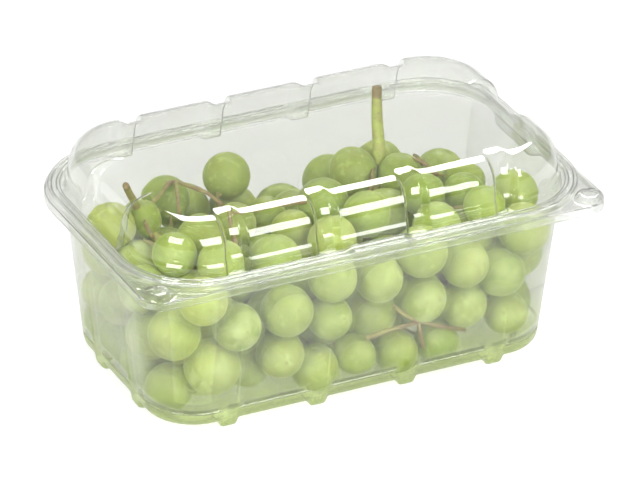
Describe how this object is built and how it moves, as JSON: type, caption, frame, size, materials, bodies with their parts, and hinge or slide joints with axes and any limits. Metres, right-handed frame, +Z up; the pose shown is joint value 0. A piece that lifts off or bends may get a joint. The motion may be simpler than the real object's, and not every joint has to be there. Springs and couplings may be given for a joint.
{
  "type": "clear hinged fruit punnet",
  "caption": "Clear thermoformed fruit punnet with a fluted domed lid folding on its rear rim, filled with green grapes on their stems.",
  "frame": {"origin": "centre of the footprint, on the surface that the feet stand on", "axes": "+X along the long side, -Y towards the latch side, +Y towards the hinge, +Z up"},
  "size_m": [0.19, 0.1209, 0.088],
  "materials": {
    "tray_film": "clear, high gloss, thermoformed",
    "lid_film": "clear, high gloss, thermoformed",
    "grape_skin": "waxy skin with pale bloom",
    "stem_wood": "green stalk, brown at cuts and nodes"
  },
  "bodies": {
    "tray": {"tray": "tray_film", "left_bunch_grapes": "grape_skin", "right_bunch_grapes": "grape_skin", "left_bunch_stem": "stem_wood", "right_bunch_stem": "stem_wood"},
    "lid": {"lid": "lid_film"}
  },
  "joints": [
    {"name": "lid_hinge", "type": "hinge", "parent": "tray", "child": "lid", "pos_m": [0, 0.0606, 0.06755], "axis": [-1, 0, 0], "range_deg": [0, 180]}
  ]
}
